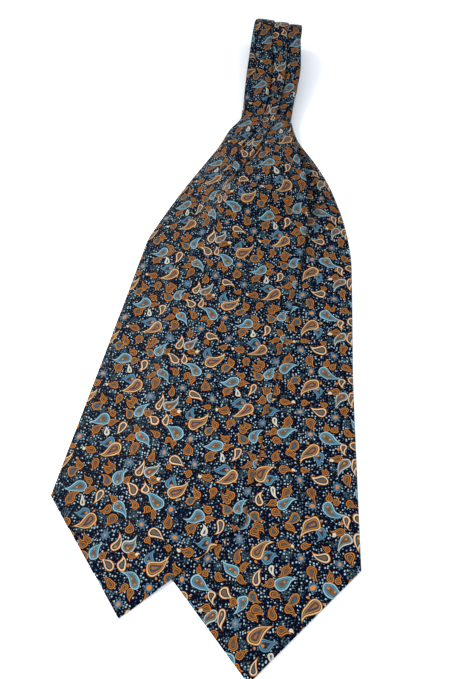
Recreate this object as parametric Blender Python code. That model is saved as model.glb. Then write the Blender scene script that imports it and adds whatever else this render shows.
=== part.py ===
"""A silk day cravat, folded at the middle of its pleated neckband and laid down.

One long strip of silk runs from the pointed end of the under blade, through the
knife-pleated neckband that is folded over at the top, to the pointed end of the
upper blade, which lies on the under blade and runs off it to the left. The blades
lie flat. The gathered silk below the band stands up in two soft fans, one on the
other, and the thick pleats keep the fold in a round loop.
Plan sizes below are millimetres, measured from a point below the under blade's
tip: x to the right, y towards the fold, z up from the surface it lies on.
"""
from collections import namedtuple
from math import cos, hypot, pi, radians, sin

import bmesh
import bpy
from mathutils import Vector

MM = 0.001

# Cloth thicknesses and the room between pieces
BLADE_WALL = 1.2
BAND_WALL = 3.0
SEAM_GAP = 0.3
LAY_GAP = 0.4

# Where each blade starts at the neckband, and where its point lies
UPPER_SEAM = Vector((40.2, 495.0))
UPPER_TIP = Vector((-71.6, 37.6))
UNDER_SEAM = Vector((41.0, 495.0))
UNDER_TIP = Vector((13.8, 0.4))
BAND_HEADING = radians(7.0)

# How far each blade's side corners stand above its point
UPPER_CORNERS = (65.0, 78.0)
UNDER_CORNERS = (72.0, 71.0)

# Half widths to the left and right of a blade's middle line, down from its seam
Girth = namedtuple("Girth", "down left right")
UPPER_GIRTHS = (
    Girth(0, 24.0, 24.5),
    Girth(10, 22.5, 25.5),
    Girth(30, 30.5, 29.0),
    Girth(50, 35.0, 36.5),
    Girth(75, 44.0, 51.0),
    Girth(100, 53.0, 58.5),
    Girth(125, 61.0, 63.5),
    Girth(150, 68.0, 65.5),
    Girth(175, 73.0, 66.5),
    Girth(235, 73.0, 66.5),
    Girth(470, 74.0, 67.5),
)
UNDER_GIRTHS = (
    Girth(0, 23.0, 24.5),
    Girth(10, 22.0, 26.5),
    Girth(30, 28.0, 33.5),
    Girth(55, 34.0, 47.0),
    Girth(80, 43.0, 59.0),
    Girth(100, 50.5, 66.0),
    Girth(125, 59.5, 73.0),
    Girth(150, 65.0, 77.0),
    Girth(170, 66.5, 78.5),
    Girth(210, 67.0, 77.5),
    Girth(300, 67.0, 75.0),
    Girth(495, 66.5, 74.5),
)

# The neckband's sections: its two edges, the height that the upper run's underside
# stands at, and the pleat lines as shares across it
Section = namedtuple(
    "Section", "up left_x left_y right_x right_y height line_1 line_2 line_3"
)
BAND_SECTIONS = (
    Section(0, 16.5, 498.0, 64.5, 492.0, 9.5, 0.17, 0.44, 0.66),
    Section(30, 19.0, 527.0, 70.5, 519.5, 12.5, 0.16, 0.465, 0.73),
    Section(60, 22.5, 559.0, 76.5, 549.0, 18.5, 0.14, 0.455, 0.725),
    Section(90, 27.0, 590.0, 78.0, 578.5, 28.0, 0.07, 0.4, 0.72),
    Section(105, 29.5, 605.0, 78.5, 593.0, 31.0, 0.035, 0.385, 0.71),
)

# Heights of the pleats' top over the band's own wall, either side of each line:
# the first line is the left edge of a strip that lies over its neighbour, and at
# the other two a strip ends over the next one
Pleat = namedtuple("Pleat", "line before after")
PLEATS = (
    Pleat(1, 0.20, 0.95),
    Pleat(2, 1.15, 0.30),
    Pleat(3, 1.10, 0.25),
)
PLEAT_RIGHT_EDGE = 0.55

# Half width of the drop at a pleat line, as a share of the band's width
PLEAT_RAMP = 0.008

# The first line only shows in the upper part of the band, and sets in over this
FIRST_LINE_SETS_IN = (40.0, 76.0)

# The under run is a little narrower than the upper one, away from its two ends
UNDER_RUN_INSET = 1.6

# How high the gathered silk's underside stands off what it lies on, down from the
# seam, at each side edge and on the middle line
Puff = namedtuple("Puff", "down left middle right")
UPPER_PUFFS = (
    Puff(0, 6.1, 6.1, 6.1),
    Puff(20, 6.2, 8.4, 7.6),
    Puff(50, 5.6, 10.0, 9.6),
    Puff(85, 3.8, 10.0, 9.6),
    Puff(115, 2.2, 7.4, 6.6),
    Puff(145, 1.0, 4.0, 3.0),
    Puff(180, 0.3, 1.6, 1.0),
    Puff(220, 0.0, 0.3, 0.1),
    Puff(260, 0.0, 0.0, 0.0),
)
UNDER_PUFFS = (
    Puff(0, 0.0, 0.0, 0.0),
    Puff(25, 1.2, 4.5, 1.6),
    Puff(55, 1.8, 8.5, 2.4),
    Puff(85, 1.4, 9.0, 1.8),
    Puff(115, 0.5, 6.5, 0.8),
    Puff(145, 0.0, 3.2, 0.2),
    Puff(180, 0.0, 0.9, 0.0),
    Puff(220, 0.0, 0.0, 0.0),
)
PUFF_BLUNTNESS = 2.6

# Soft folds that fan out below the band: ridges, then the troughs between them.
# Widths are half widths, and down starts above the seam where a fold comes out of
# a pleat
Fold = namedtuple("Fold", "start_down start_across end_down end_across height width")
UPPER_FOLDS = (
    Fold(-10, 0.62, 130, 0.30, 3.4, 15.0),
    Fold(-6, -0.40, 120, -0.62, 2.4, 13.0),
    Fold(0, 0.95, 96, 0.86, 2.6, 9.0),
    Fold(40, -0.02, 150, -0.10, 1.2, 20.0),
    Fold(14, 0.14, 98, -0.28, -4.6, 4.8),
    Fold(-4, 0.30, 40, 0.10, -2.8, 3.8),
    Fold(12, -0.42, 40, -0.58, -1.6, 4.0),
)
UNDER_FOLDS = (
    Fold(4, 0.45, 120, 0.56, -3.4, 10.0),
    Fold(10, 0.86, 150, 0.78, 1.8, 10.0),
)
FOLD_BLUNTNESS = 0.7
FOLDS_RISE_OVER = 30.0

# How the upper blade steps down to the surface past the under blade's edge
STEP_HOLDS = 8.0
STEP_LENGTH = 18.0

# Distances over which the band's build-up thins out into a blade
WALL_THINS_OVER = 45.0
PLEATS_FADE_OVER = 70.0
COLUMNS_SPREAD_OVER = 60.0
TILT_FADES_OVER = 100.0

# Mesh divisions: columns in each strip of the band, left to right, and rows
STRIP_COLUMNS = (4, 7, 7, 7)
UNDER_COLUMNS = 19
UPPER_ROWS = 46
UNDER_ROWS = 36
UPPER_RUN_ROWS = 18
UNDER_RUN_ROWS = 10
FOLD_STEPS = 13
ROW_CROWDING = 1.35
SMOOTH_BELOW = radians(40.0)

# The printed silk's average colour
SILK_COLOUR = (0.14, 0.13, 0.12)
SILK_ROUGHNESS = 0.5


def ease(low, high, value):
    """0 below low, 1 above high, and a smooth change between."""
    share = min(max((value - low) / (high - low), 0.0), 1.0)
    return share * share * (3.0 - 2.0 * share)


def mix(first, second, share):
    return first + (second - first) * share


def read(table, key, column, value):
    """A table's column at a value of its key, on a smooth curve without overshoot."""
    keys = [getattr(row, key) for row in table]
    vals = [getattr(row, column) for row in table]
    last = len(table) - 1
    slopes = [(vals[i + 1] - vals[i]) / (keys[i + 1] - keys[i]) for i in range(last)]
    value = min(max(value, keys[0]), keys[-1])
    i = min(sum(1 for k in keys[1:-1] if k <= value), last - 1)

    def tangent(n):
        if n == 0 or n == last:
            return slopes[min(n, last - 1)]
        if slopes[n - 1] * slopes[n] <= 0.0:
            return 0.0
        return 2.0 * slopes[n - 1] * slopes[n] / (slopes[n - 1] + slopes[n])

    span = keys[i + 1] - keys[i]
    t = (value - keys[i]) / span
    return (
        vals[i] * (1 + 2 * t) * (1 - t) ** 2
        + tangent(i) * span * t * (1 - t) ** 2
        + vals[i + 1] * t * t * (3 - 2 * t)
        + tangent(i + 1) * span * t * t * (t - 1)
    )


class Blade:
    """One blade's plan: a straight middle line, its half widths and its point."""

    def __init__(self, seam, tip, girths, corners):
        self.seam, self.girths, self.corners = seam, girths, corners
        self.length = (tip - seam).length
        self.forward = (tip - seam).normalized()
        self.right = Vector((-self.forward.y, self.forward.x))
        band_right = Vector((cos(BAND_HEADING), -sin(BAND_HEADING)))
        self.seam_tilt = -self.right.angle_signed(band_right)

    def half_width(self, down, across):
        side = "left" if across < 0 else "right"
        return read(self.girths, "down", side, down)

    def column_length(self, across):
        """How long the cloth is at one column, up to the slanted edge of its point."""
        corner = self.corners[0] if across < 0 else self.corners[1]
        return self.length - abs(across) * corner

    def plan(self, down, across):
        """A point of the blade from above. across runs from -1, left, to 1, right."""
        tilt = self.tilt_at(down)
        lateral = across * self.half_width(down, across)
        along = down - lateral * sin(tilt)
        return self.seam + self.forward * along + self.right * (lateral * cos(tilt))

    def tilt_at(self, down):
        """Rows start along the band's slanting end and turn square to the blade."""
        return self.seam_tilt * (1.0 - ease(0.0, TILT_FADES_OVER, down))

    def locate(self, point):
        """How far down and how far to the right a point in plan is on the blade."""
        offset = point - self.seam
        down = offset.dot(self.forward)
        for _ in range(4):
            tilt = self.tilt_at(down)
            lateral = offset.dot(self.right) / cos(tilt)
            down = offset.dot(self.forward) + lateral * sin(tilt)
        return down, lateral

    def outside(self, point):
        """How far a point lies outside the blade, over its left side or its point."""
        down, lateral = self.locate(point)
        half = self.half_width(down, lateral)
        past_side = abs(lateral) - half
        corner = self.corners[0] if lateral < 0 else self.corners[1]
        slant = hypot(corner, half)
        past_point = (down - self.length + abs(lateral) * corner / half) * half / slant
        return max(past_side, past_point)


UPPER = Blade(UPPER_SEAM, UPPER_TIP, UPPER_GIRTHS, UPPER_CORNERS)
UNDER = Blade(UNDER_SEAM, UNDER_TIP, UNDER_GIRTHS, UNDER_CORNERS)


def line_shares(up):
    """Where the three pleat lines cross the band, as shares of its width."""
    return [read(BAND_SECTIONS, "up", "line_%d" % n, up) for n in (1, 2, 3)]


def strip_columns(up):
    """Columns across the band: a pair at each pleat line, and even ones between."""
    lines = line_shares(up)
    starts = [0.0] + [line + PLEAT_RAMP for line in lines]
    ends = [line - PLEAT_RAMP for line in lines] + [1.0]
    shares = []
    for start, end, count in zip(starts, ends, STRIP_COLUMNS):
        shares += [mix(start, end, n / (count - 1)) for n in range(count)]
    return shares


def pleat_heights(up):
    """Pleat height above the wall at each column: a low start, a high edge, a drop."""
    first_shows = ease(*FIRST_LINE_SETS_IN, up)
    left = mix(PLEATS[0].after, PLEATS[0].before, first_shows)
    lows = [left] + [pleat.after for pleat in PLEATS]
    highs = [left] + [pleat.before for pleat in PLEATS[1:]] + [PLEAT_RIGHT_EDGE]
    heights = []
    for low, high, count in zip(lows, highs, STRIP_COLUMNS):
        heights += [mix(low, high, ease(0.0, 1.0, n / (count - 1))) for n in range(count)]
    return heights


def wall_at(down):
    """A blade's thickness, down from its seam."""
    return mix(BAND_WALL, BLADE_WALL, ease(0.0, WALL_THINS_OVER, down))


def fold_height(fold, down, across, half):
    """One soft fold: a ridge, or a trough where its height is below zero."""
    share = (down - fold.start_down) / (fold.end_down - fold.start_down)
    if share <= 0.0 or share >= 1.0:
        return 0.0
    middle = mix(fold.start_across, fold.end_across, share)
    sideways = (across - middle) * half / fold.width
    length_profile = sin(pi * share) ** FOLD_BLUNTNESS
    return fold.height * length_profile / (1.0 + sideways ** 4)


def relief(puffs, folds, down, across, half):
    """How far the gathered silk stands off what it lies on."""
    edge = read(puffs, "down", "left" if across < 0 else "right", down)
    middle = read(puffs, "down", "middle", down)
    puff = mix(middle, edge, abs(across) ** PUFF_BLUNTNESS)
    lift = sum(fold_height(fold, down, across, half) for fold in folds)
    return max(0.0, puff + lift * ease(0.0, FOLDS_RISE_OVER, down))


def under_relief(down, across):
    return relief(UNDER_PUFFS, UNDER_FOLDS, down, across, UNDER.half_width(down, across))


def support(point):
    """The height that the upper blade's underside rests at, at one place in plan."""
    down, lateral = UNDER.locate(point)
    across = min(max(lateral / UNDER.half_width(down, lateral), -1.0), 1.0)
    on_cloth = 1.0 - ease(STEP_HOLDS, STEP_HOLDS + STEP_LENGTH, UNDER.outside(point))
    return (under_relief(down, across) + wall_at(down) + LAY_GAP) * on_cloth


def sheet_solid(name, top, bottom):
    """A closed wall between two grids of points, top and bottom, with its rim."""
    mesh = bmesh.new()
    grids = []
    for grid in (top, bottom):
        grids.append([[mesh.verts.new(Vector(point) * MM) for point in row] for row in grid])
    upper, lower = grids
    rows, columns = len(top), len(top[0])
    for r in range(rows - 1):
        for c in range(columns - 1):
            corners = ((r, c), (r, c + 1), (r + 1, c + 1), (r + 1, c))
            mesh.faces.new([upper[i][j] for i, j in corners])
            mesh.faces.new([lower[i][j] for i, j in reversed(corners)])
    rim = [(0, c) for c in range(columns)]
    rim += [(r, columns - 1) for r in range(1, rows)]
    rim += [(rows - 1, c) for c in range(columns - 2, -1, -1)]
    rim += [(r, 0) for r in range(rows - 2, 0, -1)]
    for here, after in zip(rim, rim[1:] + rim[:1]):
        mesh.faces.new([upper[after[0]][after[1]], upper[here[0]][here[1]],
                        lower[here[0]][here[1]], lower[after[0]][after[1]]])
    bmesh.ops.recalc_face_normals(mesh, faces=mesh.faces)
    data = bpy.data.meshes.new(name)
    mesh.to_mesh(data)
    mesh.free()
    data.shade_smooth()
    data.set_sharp_from_angle(angle=SMOOTH_BELOW)
    data.materials.append(silk(name))
    item = bpy.data.objects.new(name, data)
    bpy.context.scene.collection.objects.link(item)
    return item


def silk(name):
    """Dark printed silk, in its average colour."""
    material = bpy.data.materials.new("silk_" + name)
    material.use_nodes = True
    shader = material.node_tree.nodes["Principled BSDF"]
    shader.inputs["Base Color"].default_value = (*SILK_COLOUR, 1.0)
    shader.inputs["Roughness"].default_value = SILK_ROUGHNESS
    shader.inputs["Metallic"].default_value = 0.0
    return material


def row_shares(count):
    """Shares down a blade, closer together near the band."""
    return [(n / (count - 1)) ** ROW_CROWDING for n in range(count)]


def build_under_blade():
    """The blade that lies on the surface, with the fan that the other one lies on."""
    columns = [2.0 * n / (UNDER_COLUMNS - 1) - 1.0 for n in range(UNDER_COLUMNS)]
    top, bottom = [], []
    for share in row_shares(UNDER_ROWS):
        top_row, bottom_row = [], []
        for across in columns:
            down = mix(SEAM_GAP, UNDER.column_length(across), share)
            place = UNDER.plan(down, across)
            height = under_relief(down, across)
            top_row.append((place.x, place.y, height + wall_at(down)))
            bottom_row.append((place.x, place.y, height))
        top.append(top_row)
        bottom.append(bottom_row)
    return sheet_solid("blade_under", top, bottom)


def build_upper_blade():
    """The blade that lies on the other one and runs off it, with the soft folds."""
    seam_columns = [2.0 * share - 1.0 for share in strip_columns(0.0)]
    seam_pleats = pleat_heights(0.0)
    count = len(seam_columns)
    top, bottom = [], []
    for share in row_shares(UPPER_ROWS):
        top_row, bottom_row = [], []
        for n in range(count):
            even = 2.0 * n / (count - 1) - 1.0
            down = mix(SEAM_GAP, UPPER.column_length(even), share)
            across = mix(seam_columns[n], even, ease(0.0, COLUMNS_SPREAD_OVER, down))
            half = UPPER.half_width(down, across)
            place = UPPER.plan(down, across)
            height = support(place) + relief(UPPER_PUFFS, UPPER_FOLDS, down, across, half)
            pleat = seam_pleats[n] * (1.0 - ease(0.0, PLEATS_FADE_OVER, down))
            top_row.append((place.x, place.y, height + wall_at(down) + pleat))
            bottom_row.append((place.x, place.y, height))
        top.append(top_row)
        bottom.append(bottom_row)
    return sheet_solid("blade_upper", top, bottom)


def band_edges(up, inset):
    """The two ends of the band's section in plan."""
    left = Vector([read(BAND_SECTIONS, "up", key, up) for key in ("left_x", "left_y")])
    right = Vector([read(BAND_SECTIONS, "up", key, up) for key in ("right_x", "right_y")])
    inward = (right - left).normalized() * inset
    return left + inward, right - inward


Station = namedtuple("Station", "up past middle out_past out_up inset showing")


def band_stations():
    """Up the upper run, round the loop at the fold and down the under run.

    Each station gives how far up the band it is, how far past the end of the runs,
    the height of the middle of the wall, the wall's outward direction, the edges'
    inset and how much of the pleats shows.
    """
    top_of_run = BAND_SECTIONS[-1].up
    low = BAND_WALL / 2
    radius = BAND_SECTIONS[-1].height / 2
    stations = []
    for n in range(UPPER_RUN_ROWS):
        up = top_of_run * n / (UPPER_RUN_ROWS - 1)
        middle = read(BAND_SECTIONS, "up", "height", up) + low
        stations.append(Station(up, 0.0, middle, 0.0, 1.0, 0.0, 1.0))
    for n in range(1, FOLD_STEPS):
        turned = n / FOLD_STEPS
        past, above = sin(pi * turned), cos(pi * turned)
        showing = 1.0 - ease(0.5, 1.0, turned)
        stations.append(Station(top_of_run, radius * past, low + radius * (1.0 + above),
                                past, above, 0.0, showing))
    for n in range(UNDER_RUN_ROWS):
        share = n / (UNDER_RUN_ROWS - 1)
        inset = UNDER_RUN_INSET * sin(pi * share)
        stations.append(Station(top_of_run * (1.0 - share), 0.0, low, 0.0, -1.0, inset, 0.0))
    return stations


def build_neckband():
    """Both runs of the band and the fold between them, as one folded wall."""
    outer, inner = [], []
    for at in band_stations():
        left, right = band_edges(at.up, at.inset)
        heading = Vector((left.y - right.y, right.x - left.x)).normalized()
        outer_row, inner_row = [], []
        for share, pleat in zip(strip_columns(at.up), pleat_heights(at.up)):
            place = left.lerp(right, share)
            for row, reach in ((outer_row, BAND_WALL / 2 + pleat * at.showing),
                               (inner_row, -BAND_WALL / 2)):
                plan = place + heading * (at.past + at.out_past * reach)
                row.append((plan.x, plan.y, at.middle + at.out_up * reach))
        outer.append(outer_row)
        inner.append(inner_row)
    return sheet_solid("neckband", outer, inner)


def centre_on_floor(items):
    """Move the whole cravat so that its origin is the middle of its footprint."""
    corners = [vertex.co for item in items for vertex in item.data.vertices]
    low = Vector([min(corner[axis] for corner in corners) for axis in range(3)])
    high = Vector([max(corner[axis] for corner in corners) for axis in range(3)])
    shift = Vector(((low.x + high.x) / 2, (low.y + high.y) / 2, low.z))
    for item in items:
        for vertex in item.data.vertices:
            vertex.co -= shift


for old in list(bpy.data.objects):
    bpy.data.objects.remove(old, do_unlink=True)
centre_on_floor([build_under_blade(), build_upper_blade(), build_neckband()])
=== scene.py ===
"""Looks for a silk day cravat, folded at its neckband and laid on a plain floor.

The cloth is two long sheets that meet under the loop of the fold: one is the upper
blade with the run of pleats that shows and the loop, the other is the run under it
with the under blade. Sizes in the tables are millimetres, in the plan that the part
was drawn in: x to the right, y towards the fold, z up from the floor.
"""

from math import atan, atan2, copysign, cos, hypot, pi, radians, sin

import bmesh
import bpy
import numpy as np
from mathutils import Matrix, Vector


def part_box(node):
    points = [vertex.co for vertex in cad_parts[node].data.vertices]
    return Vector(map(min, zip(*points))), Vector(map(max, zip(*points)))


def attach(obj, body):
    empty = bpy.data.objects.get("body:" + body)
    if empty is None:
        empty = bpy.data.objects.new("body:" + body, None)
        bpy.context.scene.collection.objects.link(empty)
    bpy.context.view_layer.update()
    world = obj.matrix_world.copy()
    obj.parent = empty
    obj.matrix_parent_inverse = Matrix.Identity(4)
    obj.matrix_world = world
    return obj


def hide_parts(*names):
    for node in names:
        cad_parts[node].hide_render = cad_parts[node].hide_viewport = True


MM = 0.001

# Cloth thicknesses, and the room between the two blades
BLADE_WALL = 1.2
BAND_WALL = 3.0
LAY_GAP = 0.4

# How far the drawn cloth stands over the solid that it covers
CLOTH_LIFT = 0.4

# How far the neckband leans to the right in plan
BAND_HEADING = radians(7.0)

# The print's repeat across and along the cloth
REPEAT = (90.1, 53.5)

# The print's coordinates for each millimetre of cloth
UV_SCALE = 0.01


def ease(low, high, value):
    """0 below low, 1 above high, and a smooth change between."""
    share = np.clip((value - low) / (high - low), 0.0, 1.0)
    return share * share * (3.0 - 2.0 * share)


def mix(first, second, share):
    return first + (second - first) * share


class Table:
    """Sizes by their distance along the cloth, read on smooth curves between rows."""

    def __init__(self, names, *rows):
        self.names = names.split()
        self.rows = np.array(rows, dtype=float)

    def __call__(self, name, at):
        keys, values = self.rows[:, 0], self.rows[:, self.names.index(name)]
        at = np.clip(at, keys[0], keys[-1])
        slopes = np.diff(values) / np.diff(keys)
        tangents = np.concatenate([slopes[:1], np.zeros(len(slopes) - 1), slopes[-1:]])
        same = slopes[:-1] * slopes[1:] > 0.0
        total = np.where(same, slopes[:-1] + slopes[1:], 1.0)
        tangents[1:-1] = np.where(same, 2.0 * slopes[:-1] * slopes[1:] / total, 0.0)
        i = np.clip(np.searchsorted(keys, at, side="right") - 1, 0, len(keys) - 2)
        span = keys[i + 1] - keys[i]
        t = (at - keys[i]) / span
        return (values[i] * (1 + 2 * t) * (1 - t) ** 2
                + tangents[i] * span * t * (1 - t) ** 2
                + values[i + 1] * t * t * (3 - 2 * t)
                + tangents[i + 1] * span * t * t * (t - 1))


# Half widths of the blades to each side of their middle lines, down from the seam
UPPER_GIRTHS = Table(
    "down left right",
    (0, 24.0, 24.5),
    (10, 22.5, 25.5),
    (30, 30.5, 29.0),
    (50, 35.0, 36.5),
    (75, 44.0, 51.0),
    (100, 53.0, 58.5),
    (125, 61.0, 63.5),
    (150, 68.0, 65.5),
    (175, 73.0, 66.5),
    (235, 73.0, 66.5),
    (470, 74.0, 67.5),
)
UNDER_GIRTHS = Table(
    "down left right",
    (0, 23.0, 24.5),
    (10, 22.0, 26.5),
    (30, 28.0, 33.5),
    (55, 34.0, 47.0),
    (80, 43.0, 59.0),
    (100, 50.5, 66.0),
    (125, 59.5, 73.0),
    (150, 65.0, 77.0),
    (170, 66.5, 78.5),
    (210, 67.0, 77.5),
    (300, 67.0, 75.0),
    (495, 66.5, 74.5),
)

# The neckband: its edges, the height of the upper run's underside and its pleat lines
BAND = Table(
    "up left_x left_y right_x right_y height line_1 line_2 line_3",
    (0, 16.5, 498.0, 64.5, 492.0, 9.5, 0.17, 0.44, 0.69),
    (30, 19.0, 527.0, 70.5, 519.5, 12.5, 0.16, 0.465, 0.73),
    (60, 22.5, 559.0, 76.5, 549.0, 18.5, 0.14, 0.455, 0.725),
    (90, 27.0, 590.0, 78.0, 578.5, 28.0, 0.07, 0.4, 0.72),
    (105, 29.5, 605.0, 78.5, 593.0, 31.0, 0.035, 0.385, 0.71),
)
TOP_OF_RUN = 105.0
UNDER_RUN_INSET = 1.6
UPPER_RUN_INSET = 0.8
FOLD_INSET = 1.8

# Where up the band the first pleat sets in
FIRST_LINE_SETS_IN = (40.0, 76.0)

# The dark hollow of the under blade beside the upper blade's right edge
HOLLOW = Table(
    "down depth beside width",
    (8, 0.0, 3.0, 5.0),
    (30, 6.0, 3.0, 6.0),
    (60, 9.0, 3.5, 8.0),
    (88, 7.0, 4.0, 9.0),
    (125, 0.0, 4.0, 9.0),
)

# How high the gathered silk stands off what it lies on, at its edges and its middle
UPPER_PUFFS = Table(
    "down left middle right",
    (0, 6.1, 6.1, 6.1),
    (20, 6.2, 8.4, 7.6),
    (50, 5.6, 10.0, 9.6),
    (85, 3.8, 10.0, 9.6),
    (115, 2.2, 7.4, 6.6),
    (145, 1.0, 4.0, 3.0),
    (180, 0.3, 1.6, 1.0),
    (220, 0.0, 0.3, 0.1),
    (260, 0.0, 0.0, 0.0),
)
UNDER_PUFFS = Table(
    "down left middle right",
    (0, 0.0, 0.0, 0.0),
    (25, 1.2, 4.5, 1.6),
    (55, 1.8, 8.5, 2.4),
    (85, 1.4, 9.0, 1.8),
    (115, 0.5, 6.5, 0.8),
    (145, 0.0, 3.2, 0.2),
    (180, 0.0, 0.9, 0.0),
    (220, 0.0, 0.0, 0.0),
)
PUFF_BLUNTNESS = 2.6

# Soft ridges and hollows of the gathered silk: where each starts and ends, as down
# and across, its height and its half width
UPPER_FOLDS = (
    (-10, 0.62, 130, 0.30, 3.4, 15.0),
    (-6, -0.40, 120, -0.62, 2.4, 13.0),
    (0, 0.95, 96, 0.86, 2.6, 9.0),
    (40, -0.02, 150, -0.10, 1.2, 20.0),
    (14, 0.14, 98, -0.28, -2.0, 6.0),
)
UNDER_FOLDS = (
    (4, 0.45, 120, 0.56, -3.4, 10.0),
    (10, 0.86, 150, 0.78, 1.8, 10.0),
)
FOLD_BLUNTNESS = 0.7
FOLDS_RISE_OVER = 30.0

# The pleat lines as they run on into the gathered silk: their places across, and how
# far the cloth to their left stands over the cloth to their right
CREASES = Table(
    "down line_1 line_2 line_3 drop_2 drop_3 trough_2 trough_3",
    (0, -0.66, -0.12, 0.40, 1.1, 1.1, 0.0, 0.0),
    (12, -0.67, -0.06, 0.40, 1.6, 1.8, 0.8, 0.8),
    (22, -0.68, -0.08, 0.33, 2.0, 2.8, 1.6, 1.6),
    (34, -0.70, -0.19, 0.20, 2.0, 3.3, 1.6, 2.4),
    (47, -0.72, -0.29, 0.14, 1.4, 3.3, 1.0, 2.8),
    (56, -0.72, -0.34, 0.08, 1.1, 3.2, 0.8, 2.8),
    (66, -0.72, -0.35, -0.02, 1.0, 3.2, 0.8, 2.8),
    (78, -0.72, -0.35, -0.12, 1.0, 3.0, 0.8, 2.6),
    (92, -0.72, -0.35, -0.20, 0.8, 2.0, 0.7, 2.0),
    (106, -0.72, -0.35, -0.25, 0.0, 0.0, 0.0, 0.8),
    (125, -0.72, -0.35, -0.15, 0.0, 0.0, 0.0, 0.0),
    (160, -0.72, -0.35, 0.05, 0.0, 0.0, 0.0, 0.0),
)
LINES_AT_END = (-1.0, -0.72, -0.35, 0.05, 1.0)
TROUGH_WIDTH = 6.5
RISE_BEFORE = 0.55
FALL_AFTER = 0.45

# The upper blade's faint waves below the gathers: their height and how fast they follow
RIPPLE = 0.12
RIPPLE_RATE = 0.11

# Where the cloth's own width lies: the print's place at the two edges of the upper
# blade and on both sides of two creases, where cloth is tucked out of sight
TUCKS = Table(
    "down left before_2 after_2 before_3 after_3 right",
    (0, -4.0, 17.0, 46.0, 58.0, 92.5, 107.0),
    (22, -5.0, 22.0, 44.0, 59.5, 91.5, 112.0),
    (34, -5.6, 21.2, 43.0, 61.8, 90.0, 117.0),
    (52, -6.5, 20.0, 41.0, 61.3, 85.3, 124.0),
    (66, -6.5, 19.5, 39.0, 56.5, 79.5, 129.0),
    (81, -6.0, 25.0, 38.0, 50.4, 73.4, 133.0),
    (98, -6.0, 35.0, 44.0, 55.8, 60.8, 135.0),
    (117, -6.5, 41.5, 44.0, 59.5, 59.5, 134.0),
    (150, -8.0, 41.0, 41.5, 66.0, 66.0, 132.5),
    (175, -8.2, 39.0, 39.0, 68.0, 68.0, 131.2),
)
PRINT_AT_SEAM = -333.75

# The first pleat line's share of the way from the left edge to the second line
FIRST_PLEAT = 0.42

# The under blade's print, turned half round: its middle, half width and place at the seam
UNDER_PRINT_MIDDLE = 28.5
UNDER_PRINT_HALF = 71.0
UNDER_PRINT_AT_SEAM = 16.0

# How far the gathers have slipped the cloth down at the same places
SLIPS = Table(
    "down left before_2 after_2 before_3 after_3 right",
    (0, 0.0, 0.0, 0.0, 0.0, 0.0, 0.0),
    (22, -1.0, 3.0, 0.0, 0.0, 1.0, 1.0),
    (50, -2.0, 6.0, -2.0, 0.0, 2.0, 1.0),
    (65, -3.0, 12.0, -1.0, 0.0, 2.5, 0.5),
    (81, -2.0, 10.0, -1.0, 1.0, 3.0, -0.7),
    (98, -1.0, 6.0, -2.0, 4.0, 6.0, 0.0),
    (117, 0.0, 2.0, 0.0, 1.5, 1.5, 0.0),
    (150, 0.0, 0.0, 0.0, 0.0, 0.0, 0.0),
)

# The same on the band: how far each strip's print is from its place on the band
STRIP_PRINTS = Table(
    "up strip_0 strip_1 strip_2 strip_3",
    (0, 20.0, 20.0, 49.0, 83.0),
    (40, 17.5, 17.5, 49.0, 80.0),
    (76, 6.0, 15.0, 49.0, 76.5),
    (105, 4.0, 14.0, 49.0, 74.0),
)


class Blade:
    """One blade in plan: a straight middle line, its half widths and its point."""

    def __init__(self, seam, tip, girths, corners):
        self.seam, self.girths, self.corners = np.array(seam), girths, corners
        reach = np.array(tip) - self.seam
        self.length = hypot(*reach)
        self.forward = reach / self.length
        self.right = np.array((-self.forward[1], self.forward[0]))
        self.seam_tilt = atan2(-self.right[1], self.right[0]) - BAND_HEADING

    def half_width(self, down, across):
        return np.where(across < 0, self.girths("left", down), self.girths("right", down))

    def column_length(self, across):
        return self.length - np.abs(across) * np.where(across < 0, *self.corners)

    def tilt_at(self, down):
        return self.seam_tilt * (1.0 - ease(0.0, 100.0, down))

    def plan(self, down, across):
        tilt = self.tilt_at(down)
        lateral = across * self.half_width(down, across)
        along = down - lateral * np.sin(tilt)
        return (self.seam + along[..., None] * self.forward
                + (lateral * np.cos(tilt))[..., None] * self.right)

    def locate(self, place):
        along, aside = (place - self.seam) @ self.forward, (place - self.seam) @ self.right
        down = along
        for _ in range(4):
            tilt = self.tilt_at(down)
            lateral = aside / np.cos(tilt)
            down = along + lateral * np.sin(tilt)
        return down, lateral

    def outside(self, place):
        """How far a point lies outside the blade, over its left side or its point."""
        down, lateral = self.locate(place)
        half = self.half_width(down, lateral)
        corner = np.where(lateral < 0, *self.corners)
        past_point = down - self.length + np.abs(lateral) * corner / half
        return np.maximum(np.abs(lateral) - half, past_point * half / np.hypot(corner, half))


UPPER = Blade((40.2, 495.0), (-71.6, 37.6), UPPER_GIRTHS, (65.0, 78.0))
UNDER_TIP = (13.8, 0.4)
UNDER = Blade((41.0, 495.0), UNDER_TIP, UNDER_GIRTHS, (72.0, 71.0))


def wall_at(down):
    return mix(BAND_WALL, BLADE_WALL, ease(0.0, 45.0, down))


def relief(puffs, folds, down, across, half):
    """How far the gathered silk stands off what it lies on."""
    edge = np.where(across < 0, puffs("left", down), puffs("right", down))
    height = mix(puffs("middle", down), edge, np.abs(across) ** PUFF_BLUNTNESS)
    for start_down, start_across, end_down, end_across, lift, width in folds:
        share = np.clip((down - start_down) / (end_down - start_down), 0.0, 1.0)
        sideways = (across - mix(start_across, end_across, share)) * half / width
        swell = np.sin(pi * share) ** FOLD_BLUNTNESS / (1.0 + sideways ** 4)
        height = height + lift * swell * ease(0.0, FOLDS_RISE_OVER, down)
    return np.maximum(0.0, height)


def under_relief(down, across):
    return relief(UNDER_PUFFS, UNDER_FOLDS, down, across, UNDER.half_width(down, across))


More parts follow.
